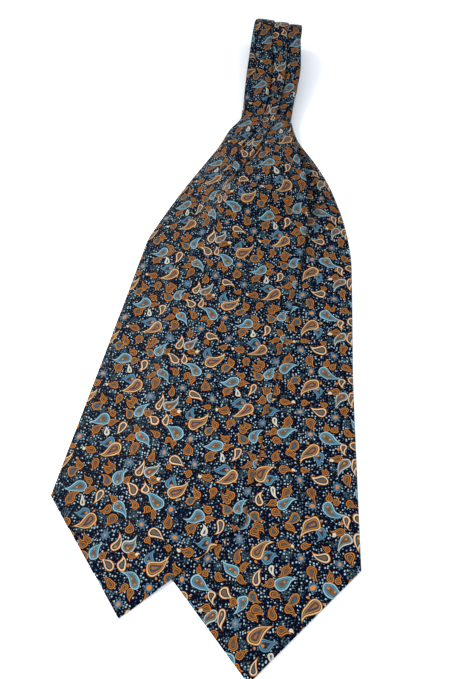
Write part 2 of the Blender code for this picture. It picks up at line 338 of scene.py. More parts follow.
def support(place):
    """The height that the upper blade rests at: on the under blade, or on the floor."""
    down, lateral = UNDER.locate(place)
    across = np.clip(lateral / UNDER.half_width(down, lateral), -1.0, 1.0)
    on_cloth = 1.0 - ease(8.0, 26.0, UNDER.outside(place))
    return (under_relief(down, across) + wall_at(down) + LAY_GAP) * on_cloth


def spread(count):
    """Shares from 0 to 1 that crowd a little towards both ends."""
    even = np.linspace(0.0, 1.0, count)
    return 0.55 * even + 0.45 * (0.5 - 0.5 * np.cos(pi * even))


# How much thinner the upper blade's pressed edges are than its middle
EDGE_THINNING = 1.0

# Columns of the upper sheet: each strip's own, with three more in the curl of the
# edge at each pleat line. A curl's reach, fall and drawn length are shares of its drop
STRIP_COLUMNS = (8, 12, 13, 28)
CURL = ((0.50, 0.25, 0.60), (0.40, 0.60, 0.95), (0.05, 0.92, 1.30))
KEEP_CLEAR = 0.25

# Rows of the upper sheet, then rows and columns of the under sheet
UPPER_ROWS = 236
UPPER_CROWDING = 1.2
RUN_ROWS = 54
TURN_ROWS = 27
SEAM_STEP = 0.4
UNDER_COLUMNS = 57
UNDER_ROWS = 250
UNDER_CROWDING = 1.1
UNDER_RUN_ROWS = 40


def upper_columns():
    """For each column: its strip, its share across it, and its place in a curl."""
    columns = []
    for strip, count in enumerate(STRIP_COLUMNS):
        columns += [(strip, share, -1) for share in spread(count)]
        if strip < 3:
            columns += [(strip, 1.0, step) for step in range(len(CURL))]
    return columns


def strip_edges(table, down):
    """What a table of the print says at the two edges of each of the four strips."""
    left, second = table("left", down), table("before_2", down)
    first = mix(left, second, FIRST_PLEAT)
    return [(left, first), (first, second), (table("after_2", down), table("before_3", down)),
            (table("after_3", down), table("right", down))]


def build_upper_half():
    """The upper blade, the run of pleats that shows and the loop of the fold."""
    columns = upper_columns()
    count = len(columns)
    far = np.array([mix(LINES_AT_END[strip], LINES_AT_END[strip + 1], share)
                    for strip, share, _ in columns])
    shares = np.linspace(1.0, 0.0, UPPER_ROWS) ** UPPER_CROWDING
    down = shares[:, None] * UPPER.column_length(far)[None, :]
    lines = [np.full_like(down, -1.0)]
    lines += [CREASES("line_%d" % n, down) for n in (1, 2, 3)]
    lines += [np.full_like(down, 1.0)]
    half_sum = (UPPER_GIRTHS("left", down) + UPPER_GIRTHS("right", down)) / 2
    across, fall, before, after, slip_before, slip_after = [], [], [], [], [], []
    drops = [np.zeros_like(down), CREASES("drop_2", down), CREASES("drop_3", down)]
    strip_x, strip_slips = [strip_edges(table, down) for table in (TUCKS, SLIPS)]
    for n, (strip, share, step) in enumerate(columns):
        start, end = lines[strip][:, n], lines[strip + 1][:, n]
        x_start, x_end = strip_x[strip][0][:, n], strip_x[strip][1][:, n]
        slip_before.append(mix(strip_slips[strip][0][:, n], strip_slips[strip][1][:, n], share))
        slip_after.append(strip_slips[strip + 1][0][:, n] if step > 0 else slip_before[-1])
        if strip > 0:
            start, x_start = start + KEEP_CLEAR / half_sum[:, n], x_start + KEEP_CLEAR
        if strip < 3:
            end, x_end = end - KEEP_CLEAR / half_sum[:, n], x_end - KEEP_CLEAR
        if step < 0:
            across.append(mix(start, end, share))
            fall.append(np.zeros(len(shares)))
            x = mix(x_start, x_end, share)
            before.append(x)
            after.append(x)
            continue
        drop = drops[strip][:, n]
        curled = ease(0.0, 0.5, drop)
        reach, sunk, drawn = CURL[step]
        flat = KEEP_CLEAR * (step + 1) / 2.0
        out = mix(flat, reach * np.minimum(drop, 1.6), curled)
        across.append(end + out / half_sum[:, n])
        fall.append(sunk * drop)
        before.append(x_end + mix(flat, drawn * drop, curled))
        x_next = strip_x[strip + 1][0][:, n] + mix(flat - KEEP_CLEAR, 0.0, curled)
        after.append(before[-1] if step == 0 else x_next)
    across, fall, before, after, slip_before, slip_after = [
        np.stack(each, -1) for each in (across, fall, before, after, slip_before, slip_after)
    ]

    half = UPPER.half_width(down, across)
    place = UPPER.plan(down, across)
    height = support(place) + relief(UPPER_PUFFS, UPPER_FOLDS, down, across, half)
    strip_of = np.array([strip for strip, _, _ in columns])
    share_of = np.array([share for _, share, _ in columns])
    for k in (2, 3):
        gap = (across - CREASES("line_%d" % k, down)) * half / TROUGH_WIDTH
        height = height - CREASES("trough_%d" % k, down) / (1.0 + gap * gap)
    # The cloth to the left of a crease rises towards it, and falls past it
    for k in (2, 3):
        drop = CREASES("drop_%d" % k, down)
        to_left = strip_of == k - 1
        to_right = strip_of == k
        rise = ease(0.0, 1.0, share_of)
        height = height + np.where(to_left, RISE_BEFORE * drop * rise, 0.0)
        height = height - np.where(to_right, FALL_AFTER * drop * (1.0 - rise), 0.0)
    height = np.maximum(height - fall, support(place) + 0.1)
    wall = wall_at(down)
    ripple = RIPPLE * np.sin(down * RIPPLE_RATE + across * 2.0) * ease(120.0, 220.0, down)
    from_side = (1.0 - np.abs(across)) * half
    from_end = UPPER.column_length(across) - down
    from_edge = np.minimum(from_side, from_end * 0.7)
    thinned = EDGE_THINNING * (1.0 - ease(0.0, 5.0, from_edge)) * ease(110.0, 170.0, down)
    face = height + wall + CLOTH_LIFT + ripple - thinned
    top = np.concatenate([place, face[..., None]], -1)
    bottom = np.concatenate([place, height[..., None]], -1)
    along = down + PRINT_AT_SEAM

    band = band_rows()
    outer = np.concatenate([top, band["outer"]])
    inner = np.concatenate([bottom, band["inner"]])
    before = np.concatenate([before, band["before"]])
    after = np.concatenate([after, band["after"]])
    rise_of_band = np.linalg.norm(np.diff(band["outer"], axis=0), axis=-1)
    rise_of_band = np.concatenate([np.full((1, count), SEAM_STEP), rise_of_band])
    along = np.concatenate([along, along[-1:] - np.cumsum(rise_of_band, axis=0)])
    on_band = np.zeros_like(band["before"])
    slips = [np.concatenate([slip, on_band]) for slip in (slip_before, slip_after)]
    layered = np.concatenate([1.0 - ease(0.0, 40.0, down), np.ones_like(band["before"])])
    return closed_sheet("upper_half", outer, inner, (before, along - slips[0]),
                        (after, along - slips[1]), layered)


# How far the fold springs out past a half circle
FOLD_SPRING = 1.3

# How far a pleat's face dips where the next one lies over it
PLEAT_GROOVE = 2.2
GROOVE_SHARE = 0.13
FIRST_GROOVE_SHARE = 0.22

# Each pleat's height at its left and right edges, where the first pleat lies once it
# has set in, and how far a pleat's middle swells
PLEAT_LOWS = (0.9, 0.9, -0.4, -0.5)
PLEAT_HIGHS = (0.9, 1.6, 1.5, 0.6)
FIRST_PLEAT_SET = -0.5
PLEAT_CROWN = 0.35


def band_pleats(up):
    """Height of the pleats over the band's own wall, and the fall at their curls."""
    columns = upper_columns()
    first = ease(*FIRST_LINE_SETS_IN, up)
    lows, highs = [[mix(sizes[0], FIRST_PLEAT_SET, first)]
                   + [np.full_like(up, size) for size in sizes[1:]]
                   for sizes in (PLEAT_LOWS, PLEAT_HIGHS)]
    heights = []
    for strip, share, step in columns:
        low, high = lows[strip], highs[strip]
        if step < 0:
            crown = PLEAT_CROWN * (1.0 - (2.0 * share - 1.0) ** 2)
            if strip == 0:
                dip = PLEAT_GROOVE * first * np.exp(-((1.0 - share) / FIRST_GROOVE_SHARE) ** 2)
            else:
                dip = PLEAT_GROOVE * np.exp(-(share / GROOVE_SHARE) ** 2) * (strip > 1)
            heights.append(mix(low, high, ease(0.0, 1.0, np.array(share))) + crown - dip)
        elif strip == 0:
            heights.append(mix(high - PLEAT_GROOVE * first, lows[1], CURL[step][1]))
        else:
            heights.append(mix(high, lows[strip + 1] - PLEAT_GROOVE, CURL[step][1]))
    return np.stack(heights, -1)


def band_rows():
    """Up the upper run and round the loop to the floor."""
    run = np.linspace(0.0, TOP_OF_RUN, RUN_ROWS)[1:]
    turn = np.linspace(0.0, 1.0, TURN_ROWS)[1:]
    radius = BAND("height", TOP_OF_RUN) / 2
    low = BAND_WALL / 2
    up = np.concatenate([run, np.full(len(turn), TOP_OF_RUN)])
    turned = np.concatenate([np.zeros(len(run)), turn])
    middle = np.concatenate([BAND("height", run) + low,
                             low + radius * (1.0 + np.cos(pi * turn))])
    past = (radius + FOLD_SPRING) * np.sin(pi * turned)
    out_past, out_up = np.sin(pi * turned), np.cos(pi * turned)
    showing = 1.0 - ease(0.55, 1.0, turned)
    left = np.stack([BAND("left_x", up), BAND("left_y", up)], -1)
    right = np.stack([BAND("right_x", up), BAND("right_y", up)], -1)
    width = np.linalg.norm(right - left, axis=-1)
    heading = np.stack([left[:, 1] - right[:, 1], right[:, 0] - left[:, 0]], -1)
    heading = heading / width[:, None]
    inward = (right - left) / width[:, None]
    inset = mix(UPPER_RUN_INSET, FOLD_INSET, ease(60.0, TOP_OF_RUN, up))
    left = left + inward * UPPER_RUN_INSET
    right = right - inward * inset[:, None]
    width = np.linalg.norm(right - left, axis=-1)

    lines = [np.zeros_like(up)] + [BAND("line_%d" % n, up) for n in (1, 2, 3)]
    lines += [np.ones_like(up)]
    shares, before, after = [], [], []
    for strip, share, step in upper_columns():
        start = lines[strip] + (KEEP_CLEAR / width if strip > 0 else 0.0)
        end = lines[strip + 1] - (KEEP_CLEAR / width if strip < 3 else 0.0)
        own = STRIP_PRINTS("strip_%d" % strip, up)
        if step < 0:
            place = mix(start, end, share)
            x = (place - 0.5) * width + own
            shares.append(place)
            before.append(x)
            after.append(x)
            continue
        folded = ease(*FIRST_LINE_SETS_IN, up) if strip == 0 else np.ones_like(up)
        reach = 1.5 * CURL[step][0] if strip else 0.5 - 1.5 * CURL[2 - step][0]
        place = end + mix(KEEP_CLEAR * (step + 1) / 2.0, reach, folded) / width
        shares.append(place)
        following = STRIP_PRINTS("strip_%d" % (strip + 1), up)
        before.append((place - 0.5) * width + own)
        turned_x = (place - 0.5) * width + following
        after.append(before[-1] if step == 0 else turned_x)
    shares, before, after = [np.stack(each, -1) for each in (shares, before, after)]
    pleats = band_pleats(up) * mix(1.0, 0.5, ease(70.0, 100.0, up))[:, None]
    place = left[:, None] + (right - left)[:, None] * shares[..., None]

    def shell(reach):
        plan = place + heading[:, None] * (past[:, None] + out_past[:, None] * reach)[..., None]
        rise = middle[:, None] + out_up[:, None] * reach
        return np.concatenate([plan, rise[..., None]], -1)

    return {
        "outer": shell(BAND_WALL / 2 + pleats * showing[:, None]),
        "inner": shell(np.full_like(pleats, -BAND_WALL / 2)),
        "before": before,
        "after": after,
    }


def build_under_half():
    """The run under the loop and the blade that lies on the floor."""
    columns = np.linspace(-1.0, 1.0, UNDER_COLUMNS)
    up = np.linspace(TOP_OF_RUN, 0.0, UNDER_RUN_ROWS)[:-1]
    share_of_run = up / TOP_OF_RUN
    inset = UNDER_RUN_INSET * np.sin(pi * share_of_run)
    left = np.stack([BAND("left_x", up), BAND("left_y", up)], -1)
    right = np.stack([BAND("right_x", up), BAND("right_y", up)], -1)
    inward = (right - left) / np.linalg.norm(right - left, axis=-1)[:, None]
    left, right = left + inward * inset[:, None], right - inward * inset[:, None]
    run = left[:, None] + (right - left)[:, None] * ((columns + 1.0) / 2.0)[None, :, None]
    shares = np.linspace(0.0, 1.0, UNDER_ROWS)[:, None] ** UNDER_CROWDING
    down = shares * UNDER.column_length(columns)
    across = np.broadcast_to(columns, down.shape)
    place = UNDER.plan(down, across)
    beside_down, beside = UPPER.locate(place)
    beside = beside - UPPER_GIRTHS("right", beside_down) - HOLLOW("beside", beside_down)
    dip = HOLLOW("depth", beside_down) / (1.0 + (beside / HOLLOW("width", beside_down)) ** 4)
    height = np.maximum(under_relief(down, across) - dip, 0.0)
    place = np.concatenate([run, place])
    height = np.concatenate([np.zeros(run.shape[:2]), height])
    wall = np.concatenate([np.full(run.shape[:2], BAND_WALL), wall_at(down)])
    top = np.concatenate([place, (height + wall)[..., None]], -1)
    bottom = np.concatenate([place, height[..., None]], -1)
    down = np.concatenate([np.broadcast_to(-up[:, None], run.shape[:2]), down])
    x = UNDER_PRINT_MIDDLE - columns[None, :] * UNDER_PRINT_HALF + np.zeros_like(down)
    printed = (x, UNDER_PRINT_AT_SEAM - down)
    layered = 1.0 - ease(0.0, 40.0, down)
    return closed_sheet("under_half", top, bottom, printed, printed, layered)


# The rim: its steps, how far a plain and a layered edge bulge, the grooves between the
# layers, and how far the print runs on at each step
RIM_STEPS = 7
RIM_BULGE = 0.8
LAYERED_BULGE = 0.35
LAYER_GROOVE = 0.28
RIM_PRINT_STEP = 0.2


def closed_sheet(name, outer, inner, before, after, layered):
    """A thin closed shell between two grids of points, with a rounded, layered rim.

    The print's x and y at each point are given for the cloth before it and after it.
    """
    rows, columns = outer.shape[:2]
    rim = [(r, 0) for r in range(rows)]
    rim += [(rows - 1, c) for c in range(1, columns)]
    rim += [(r, columns - 1) for r in range(rows - 2, -1, -1)]
    rim += [(0, c) for c in range(columns - 2, 0, -1)]
    rim_r, rim_c = np.array(rim).T
    in_r = np.clip(rim_r, 1, rows - 2)
    in_c = np.clip(rim_c, 1, columns - 2)
    centre = (outer + inner) / 2
    outward = centre[rim_r, rim_c] - centre[in_r, in_c]
    stand = outer[rim_r, rim_c] - inner[rim_r, rim_c]
    thick = np.linalg.norm(stand, axis=-1, keepdims=True)
    stand = stand / thick
    outward = outward - stand * np.sum(outward * stand, -1, keepdims=True)
    outward = outward / np.linalg.norm(outward, axis=-1, keepdims=True)
    pleated = layered[rim_r, rim_c][:, None]
    bulge = thick / 2 * mix(RIM_BULGE, LAYERED_BULGE, pleated)
    groove = LAYER_GROOVE * pleated
    if name == "under_half":
        cap = (rim_r == 0)[:, None]
    else:
        cap = (rim_r == rows - 1)[:, None]
    bulge, groove = np.where(cap, 0.0, bulge), np.where(cap, 0.0, groove)
    rings = []
    for n in range(1, RIM_STEPS + 1):
        turned = pi * n / (RIM_STEPS + 1)
        level = stand * thick / 2 * np.cos(turned)
        out = bulge * np.sin(turned) + groove * (1.0 if n % 2 else -1.0)
        rings.append(centre[rim_r, rim_c] + level + outward * out)

    points = np.concatenate([outer.reshape(-1, 3), inner.reshape(-1, 3)] + rings)
    points[:, 0] -= FOOTPRINT[0]
    points[:, 1] -= FOOTPRINT[1]
    grid = np.arange(rows * columns).reshape(rows, columns)
    far_side = rows * columns

    a, b, c, d = grid[:-1, :-1], grid[:-1, 1:], grid[1:, 1:], grid[1:, :-1]
    faces = [np.stack([a, b, c, d], -1).reshape(-1, 4)]
    top_uv = np.stack([
        np.stack([past[:-1, :-1], ahead[:-1, 1:], ahead[1:, 1:], past[1:, :-1]], -1)
        for ahead, past in zip(before, after)
    ], -1).reshape(-1, 4, 2)
    faces.append(np.stack([d, c, b, a], -1).reshape(-1, 4) + far_side)
    under_uv = top_uv[:, ::-1].copy()
    under_uv[..., 0] = 2.0 * before[0][:, -1].max() - under_uv[..., 0]
    uvs = [top_uv, under_uv]

    ring = grid[rim_r, rim_c]
    loops = [ring] + [2 * far_side + n * len(ring) + np.arange(len(ring))
                      for n in range(RIM_STEPS)] + [ring + far_side]
    edge_x, edge_y = [values[rim_r, rim_c] for values in before]
    side = np.where(rim_c == 0, -1.0, np.where(rim_c == columns - 1, 1.0, 0.0))
    for n, (upper, lower) in enumerate(zip(loops[:-1], loops[1:])):
        ahead = np.roll(np.arange(len(ring)), -1)
        faces.append(np.stack([upper[ahead], upper, lower, lower[ahead]], -1))
        x0 = edge_x + side * RIM_PRINT_STEP * n
        x1 = edge_x + side * RIM_PRINT_STEP * (n + 1)
        quad = [(x0[ahead], edge_y[ahead]), (x0, edge_y), (x1, edge_y), (x1[ahead], edge_y[ahead])]
        uvs.append(np.stack([np.stack(pair, -1) for pair in quad], 1))
    faces = np.concatenate(faces)
    uvs = np.concatenate(uvs)

    data = bpy.data.meshes.new(name)
    data.from_pydata((points * MM).tolist(), [], faces.tolist())
    layer = data.uv_layers.new(name="print")
    layer.uv.foreach_set("vector", (uvs * UV_SCALE).astype(np.float32).ravel())
    shell = bmesh.new()
    shell.from_mesh(data)
    bmesh.ops.recalc_face_normals(shell, faces=shell.faces)
    shell.to_mesh(data)
    shell.free()
    data.shade_smooth()
    sheet = bpy.data.objects.new(name, data)
    bpy.context.scene.collection.objects.link(sheet)
    return sheet


class Signal:
    """A socket whose value changes over the cloth."""

    def __init__(self, recipe, socket):
        self.recipe, self.socket = recipe, socket

    def __add__(self, other):
        return self.recipe.math("ADD", self, other)

    def __sub__(self, other):
        return self.recipe.math("SUBTRACT", self, other)

    def __rsub__(self, other):
        return self.recipe.math("SUBTRACT", other, self)

    def __mul__(self, other):
        return self.recipe.math("MULTIPLY", self, other)


class Recipe:
    """One material, whose nodes are added as its maths is written."""

    def __init__(self, name):
        self.material = bpy.data.materials.new(name)
        self.material.use_nodes = True
        self.tree = self.material.node_tree
        self.tree.nodes.clear()

    def node(self, kind, settings=None, sockets=None):
        """A node: its type, its settings, then its sockets' values or links."""
        node = self.tree.nodes.new("ShaderNode" + kind)
        for key, value in (settings or {}).items():
            if key == "stops":
                self.set_stops(node.color_ramp, value)
            else:
                setattr(node, key, value)
        for key, value in (sockets or {}).items():
            if isinstance(value, Signal):
                self.tree.links.new(value.socket, node.inputs[key])
            else:
                node.inputs[key].default_value = value
        return node

    @staticmethod
    def set_stops(ramp, stops):
        while len(ramp.elements) > 1:
            ramp.elements.remove(ramp.elements[-1])
        for n, (place, colour) in enumerate(stops):
            stop = ramp.elements[0] if n == 0 else ramp.elements.new(place)
            stop.position = place
            stop.color = (*colour, 1.0)

    def math(self, operation, *values, clamp=False):
        node = self.node("Math", {"operation": operation, "use_clamp": clamp},
                         dict(enumerate(values)))
        return Signal(self, node.outputs[0])

    def vector(self, operation, *values):
        node = self.node("VectorMath", {"operation": operation}, dict(enumerate(values)))
        plain = operation in ("DOT_PRODUCT", "LENGTH")
        return Signal(self, node.outputs["Value" if plain else "Vector"])

    def scaled(self, value, by):
        """A place or a colour, times a number or a signal."""
        node = self.node("VectorMath", {"operation": "SCALE"}, {0: value, "Scale": by})
        return Signal(self, node.outputs["Vector"])

    def blend(self, share, first, second):
        """A mix of two colours."""
        node = self.node("Mix", {"data_type": "RGBA"}, {0: share, 6: first, 7: second})
        return Signal(self, node.outputs[2])

    def ramp(self, value, stops, interpolation="LINEAR"):
        node = self.node("ValToRGB", {"stops": stops}, {"Fac": value})
        node.color_ramp.interpolation = interpolation
        return Signal(self, node.outputs["Color"])


def ink(red, green, blue):
    """A colour from its 0 to 255 display values."""
    def light(level):
        level = level / 255.0
        return level / 12.92 if level <= 0.04045 else ((level + 0.055) / 1.055) ** 2.4
    return light(red), light(green), light(blue)


# The print's drops: kind, bulb x and y, bulb radius, tail's tip x and y, and how far
# the tail bends aside
DROPS = (
    ("pale", 9.3, 7.6, 4.2, -1.6, 11.6, 2.2),
    ("pale", 41.5, 14.2, 3.9, 49.8, 22.0, 3.8),
    ("pale", 68.4, 6.6, 4.4, 56.0, 2.2, -2.6),
    ("pale", 34.5, 49.6, 3.9, 40.6, 41.0, 2.8),
    ("blue", 19.0, 24.4, 4.0, 10.6, 25.4, 1.6),
    ("blue", 73.6, 44.0, 3.6, 75.8, 36.0, 1.2),
    ("gold", 25.4, 27.6, 4.5, 13.6, 35.4, 2.8),
    ("gold", 77.6, 49.4, 4.6, 86.8, 37.8, -3.0),
    ("grey", 55.6, 39.8, 3.8, 61.0, 29.8, -4.2),
    ("cream", 48.2, 41.0, 3.1, 48.0, 30.4, -2.2),
    ("cream", 70.8, 26.4, 3.4, 80.2, 30.2, 1.6),
    ("cream", 48.4, 54.2, 3.5, 40.2, 51.0, -1.0),
    ("rust", 79.6, 17.6, 3.2, 76.2, 10.4, -1.6),
    ("rust", 39.8, 23.0, 3.3, 36.4, 30.4, 1.8),
    ("cream", 25.5, 8.8, 2.9, 22.4, 17.6, 1.4),
    ("rust", 14.5, 1.8, 2.5, 9.6, -2.0, 1.0),
    ("rust", 15.5, 8.5, 2.6, 22.0, 6.6, 1.2),
    ("rust", 6.2, 17.0, 3.2, 11.4, 12.6, 1.2),
    ("rust", 5.0, 17.5, 2.6, 4.0, 22.8, 0.8),
    ("hook", 15.5, 17.8, 2.0, 12.2, 12.4, -1.8),
    ("rust", 35.2, 17.0, 2.5, 28.8, 20.0, 1.2),
    ("rust", 37.2, 10.3, 2.6, 31.6, 8.0, -1.6),
    ("rust", 53.2, 11.2, 2.6, 46.4, 8.6, -1.4),
    ("rust", 62.3, 11.8, 2.4, 59.2, 15.6, 1.2),
    ("rust", 67.3, 13.3, 2.4, 68.4, 18.8, -1.2),
    ("rust", 54.3, 28.6, 2.8, 51.9, 22.2, -1.6),
    ("rust", 8.6, 33.0, 2.8, 2.0, 31.4, 1.2),
    ("rust", 14.8, 41.8, 3.0, 12.8, 48.0, 1.2),
    ("rust", 4.4, 46.4, 2.6, 0.8, 40.6, 1.2),
    ("blues", 0.4, 52.0, 3.4, 7.2, 49.0, 1.2),
    ("rust", 28.0, 41.5, 2.6, 24.2, 36.8, 1.0),
    ("rust", 25.8, 45.0, 2.8, 21.2, 40.6, 1.0),
    ("blues", 27.6, 52.6, 3.4, 21.2, 49.2, -1.2),
    ("rust", 41.0, 48.8, 2.6, 44.6, 45.2, 1.0),
    ("cream", 56.3, 52.6, 2.8, 54.0, 45.6, -1.0),
    ("rust", 60.0, 43.8, 2.8, 67.0, 44.6, 1.4),
    ("rust", 69.3, 32.0, 2.1, 72.4, 35.2, 0.8),
    ("rust", 84.3, 33.5, 2.4, 79.8, 34.8, -1.0),
    ("hook", 64.2, 42.0, 1.3, 66.6, 41.4, 0.6),
    ("hook", 2.4, 33.5, 1.0, 0.8, 31.6, 0.4),
)

# Small round spots of orange: x, y, radius
SPOTS = (
    (7.5, 9.5, 0.6), (69.0, 7.5, 0.8), (65.5, 5.0, 0.7), (34.5, 51.0, 0.7),
    (34.8, 46.0, 0.5), (20.0, 24.0, 0.9), (74.0, 45.0, 0.8), (48.5, 41.0, 0.7),
    (60.0, 50.5, 1.0), (71.8, 51.0, 0.8), (82.0, 54.0, 0.8), (29.0, 31.0, 0.8),
    (26.0, 21.5, 0.8), (40.5, 13.5, 0.8), (44.0, 15.0, 0.7), (56.0, 40.0, 0.7),
)

# Small eight-petalled flowers: x, y, radius, radius of the eye
FLOWERS = (
    (61.5, 22.0, 3.5, 1.2), (86.8, 25.5, 3.7, 1.3), (79.0, 7.5, 3.4, 1.5),
    (39.0, 35.5, 3.9, 0.6),
)

# Loose grey sprigs of the ground: x, y, radius
SPRIGS = (
    (30.0, 11.0, 3.2), (33.0, 24.0, 3.4), (44.0, 25.0, 2.6), (53.5, 17.0, 3.4),
    (6.0, 26.5, 3.4), (84.0, 15.0, 2.6), (6.0, 1.5, 3.0), (35.0, 3.0, 2.6),
    (19.5, 36.5, 2.8), (64.0, 36.0, 2.6), (87.0, 2.0, 2.6), (8.5, 38.0, 2.4),
)

NAVY = ink(0, 4, 28)
PALE_BLUE = ink(156, 198, 210)
TEAL = ink(50, 106, 130)
DEEP_TEAL = ink(12, 46, 66)
ORANGE = ink(224, 136, 56)
RUST = ink(166, 88, 30)
CREAM = ink(236, 218, 184)
GREY = ink(196, 204, 200)
SLATE = ink(50, 76, 98)
BROWN = ink(104, 80, 50)

# A tail bends aside by at least this share of its bulb's radius
FULL_CURL = 1.6

# How far the drawn lines wander, in millimetres
WANDER = 2.4

# The ground's dots and flecks: cells for each millimetre, and the largest dot's radius
DOT_SCALE = 0.52
DOT_RADIUS = 0.575
FLECK_SCALE = 1.05

# The dye's lowest level and how much it varies, and the spacing of the twill's ribs
DYE_LEVEL = 0.43
DYE_UNEVENNESS = 0.15
RIB_SPACING = 0.6

# Colours of each kind of drop by depth, in millimetres in from its edge
DEEPEST = 4.5
KINDS = {
    "blue": ((0.0, ink(122, 160, 182)), (0.6, TEAL), (1.4, ink(82, 126, 150)), (2.3, DEEP_TEAL)),
    "pale": ((0.0, PALE_BLUE), (0.95, DEEP_TEAL), (1.35, ink(104, 162, 178)), (1.85, TEAL),
             (2.6, ink(108, 96, 84)), (3.4, BROWN)),
    "grey": ((0.0, GREY), (0.9, ink(34, 46, 56)), (1.3, ink(150, 146, 120)), (1.8, SLATE),
             (2.5, BROWN), (3.2, RUST)),
    "gold": ((0.0, ink(228, 154, 56)), (0.55, CREAM), (1.0, ink(60, 38, 20)),
             (1.55, ink(190, 124, 56)), (2.3, ink(70, 72, 74)), (3.0, ink(40, 58, 92)),
             (3.7, ink(160, 110, 56))),
    "cream": ((0.0, ORANGE), (0.55, CREAM), (1.2, ink(36, 42, 48)), (1.8, ink(84, 92, 96)),
              (2.4, ink(120, 92, 60))),
    "blues": ((0.0, ORANGE), (0.7, ink(60, 48, 30)), (1.1, ink(138, 122, 78)),
              (1.6, ink(48, 66, 82)), (2.4, ink(62, 92, 118))),
    "rust": ((0.0, ORANGE), (0.6, ink(46, 32, 24)), (1.15, ink(180, 118, 58)),
             (1.7, ink(84, 62, 44)), (2.3, ink(76, 84, 96))),
    "hook": ((0.0, CREAM), (0.8, GREY), (1.4, SLATE)),
}


class Print(Recipe):
    """The printed silk: dark ground with pale dots, drops, spots and flowers."""

    def near(self, place, x, y):
        """Where a point is from the nearest copy of a motif."""
        low = (x - REPEAT[0] / 2, y - REPEAT[1] / 2, -1.0)
        high = (x + REPEAT[0] / 2, y + REPEAT[1] / 2, 1.0)
        wrapped = self.vector("WRAP", place, high, low)
        return self.vector("SUBTRACT", wrapped, (x, y, 0.0))

    def drop(self, place, x, y, radius, tip_x, tip_y, bend):
        """Depth inside one drop: a round bulb with a tapering, bending tail."""
        bend = copysign(max(abs(bend) * 1.5, radius * FULL_CURL), bend)
        reach = hypot(tip_x - x, tip_y - y)
        heading = atan2(tip_y - y, tip_x - x) - atan(bend / reach)
        tail = reach * cos(atan(bend / reach))
        bend = reach * sin(atan(bend / reach))
        spot = self.near(place, x, y)
        along = self.vector("DOT_PRODUCT", spot, (cos(heading), sin(heading), 0.0))
        aside = self.vector("DOT_PRODUCT", spot, (-sin(heading), cos(heading), 0.0))
        on_tail = Signal(self, self.node("Clamp", None, {"Value": along, "Min": 0.0,
                                                         "Max": tail}).outputs[0])
        past = along - on_tail
        squared = on_tail * on_tail
        aside = self.math("MULTIPLY_ADD", squared * on_tail, -bend / tail ** 3, aside)
        tapering = self.math("MULTIPLY_ADD", on_tail, -0.6 * radius / tail ** 2,
                             -0.4 * radius / tail)
        girth = self.math("MULTIPLY_ADD", tapering, on_tail, radius)
        away = self.math("MULTIPLY_ADD", past, past, aside * aside)
        return girth - self.math("SQRT", away)

    def largest(self, depths):
        """The greatest of several depths."""
        total = depths[0]
        for depth in depths[1:]:
            total = self.math("MAXIMUM", total, depth)
        return total

    def discs(self, place, shapes):
        """Depth inside round shapes, each given by its x, y and radius."""
        return self.largest([radius - self.vector("LENGTH", self.near(place, x, y))
                             for x, y, radius in shapes])

    def flower(self, place, x, y, radius):
        """Depth inside a flower of eight petals."""
        spot = self.near(place, x, y)
        parts = self.node("SeparateXYZ", None, {0: spot}).outputs
        turn = self.math("ARCTAN2", Signal(self, parts[1]), Signal(self, parts[0]))
        wave = self.math("COSINE", turn * 8.0)
        edge = self.math("MULTIPLY_ADD", wave, radius * 0.22, radius * 0.78)
        return edge - self.vector("LENGTH", spot)

    def over(self, below, depth, stops):
        """A shape's colours, by depth, laid over what is below."""
        bands = []
        for n, (at, colour) in enumerate(stops):
            if n:
                bands.append(((at - 0.15) / DEEPEST, stops[n - 1][1]))
            bands.append((at / DEEPEST, colour))
        colours = self.ramp(depth * (1.0 / DEEPEST), bands)
        shown = self.math("MULTIPLY_ADD", depth, 8.0, 0.5, clamp=True)
        return self.blend(shown, below, colours)


